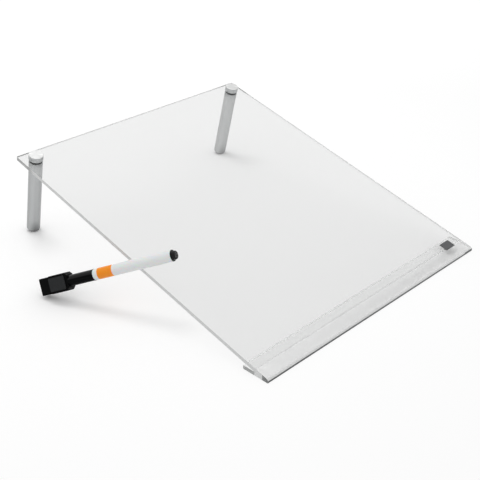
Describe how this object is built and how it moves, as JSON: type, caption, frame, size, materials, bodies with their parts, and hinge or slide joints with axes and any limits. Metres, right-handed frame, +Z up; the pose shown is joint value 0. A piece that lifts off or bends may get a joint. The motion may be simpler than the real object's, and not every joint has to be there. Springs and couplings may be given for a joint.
{
  "type": "sloping clear desk whiteboard easel",
  "caption": "Clear sloping desk writing board on a bonded front lip and metal rear legs with screw caps, with a small capped board marker leaning on its edge.",
  "frame": {"origin": "centre of the front lip's underside, on the desk", "axes": "+Z up from the desk, -Y towards the writer, +X to the writer's right"},
  "size_m": [0.3805, 0.3843, 0.1019],
  "materials": {
    "clear_acrylic": "polished clear",
    "badge_grey": "satin",
    "satin_aluminium": "satin anodised",
    "brass": "machined",
    "zinc_steel": "zinc plated",
    "black_rubber": "matte",
    "clear_nylon": "translucent",
    "black_plastic": "gloss",
    "white_plastic": "gloss",
    "liner_plastic": "matte",
    "eraser_felt": "felt",
    "flexible_magnet": "matte",
    "nib_fibre": "pressed fibre",
    "ink_fibre": "ink-soaked fibre"
  },
  "bodies": {
    "easel": {"writing_panel": "clear_acrylic", "front_lip": "clear_acrylic", "corner_badge": "badge_grey", "left_leg_tube": "satin_aluminium", "left_leg_insert": "brass", "left_foot": "black_rubber", "left_panel_washer": "black_rubber", "right_leg_tube": "satin_aluminium", "right_leg_insert": "brass", "right_foot": "black_rubber", "right_panel_washer": "black_rubber"},
    "left_cap_seat": {"left_cap_washer": "clear_nylon"},
    "left_cap_screw": {"left_cap": "satin_aluminium", "left_stud": "zinc_steel"},
    "right_cap_seat": {"right_cap_washer": "clear_nylon"},
    "right_cap_screw": {"right_cap": "satin_aluminium", "right_stud": "zinc_steel"},
    "marker_cap_group": {"marker_cap": "black_plastic", "cap_eraser_pad": "eraser_felt", "cap_magnet": "flexible_magnet", "cap_inner_liner": "liner_plastic"},
    "marker_pen_group": {"marker_barrel": "white_plastic", "marker_end_plug": "black_plastic", "marker_nib_holder": "black_plastic", "marker_nib": "nib_fibre", "marker_reservoir": "ink_fibre"}
  },
  "joints": [
    {"name": "left_cap_rise", "type": "slide", "parent": "easel", "child": "left_cap_seat", "axis": [0, -0.2453, 0.9694], "range_m": [0, 0.01]},
    {"name": "left_cap_turn", "type": "hinge", "parent": "left_cap_seat", "child": "left_cap_screw", "pos_m": [-0.1455, 0.33933, 0.09366], "axis": [0, -0.2453, 0.9694], "range_deg": [0, 3600]},
    {"name": "right_cap_rise", "type": "slide", "parent": "easel", "child": "right_cap_seat", "axis": [0, -0.2453, 0.9694], "range_m": [0, 0.01]},
    {"name": "right_cap_turn", "type": "hinge", "parent": "right_cap_seat", "child": "right_cap_screw", "pos_m": [0.1455, 0.33933, 0.09366], "axis": [0, -0.2453, 0.9694], "range_deg": [0, 3600]},
    {"name": "marker_lift", "type": "slide", "parent": "easel", "child": "marker_cap_group", "axis": [0, 0, 1], "range_m": [0, 0.15]},
    {"name": "pen_pull", "type": "slide", "parent": "marker_cap_group", "child": "marker_pen_group", "axis": [0.471, -0.7964, 0.3795], "range_m": [0, 0.04]}
  ],
  "couplings": [
    {"joint": "left_cap_rise", "follows": "left_cap_turn", "m_per_rad": 0.00015915},
    {"joint": "right_cap_rise", "follows": "right_cap_turn", "m_per_rad": 0.00015915}
  ]
}
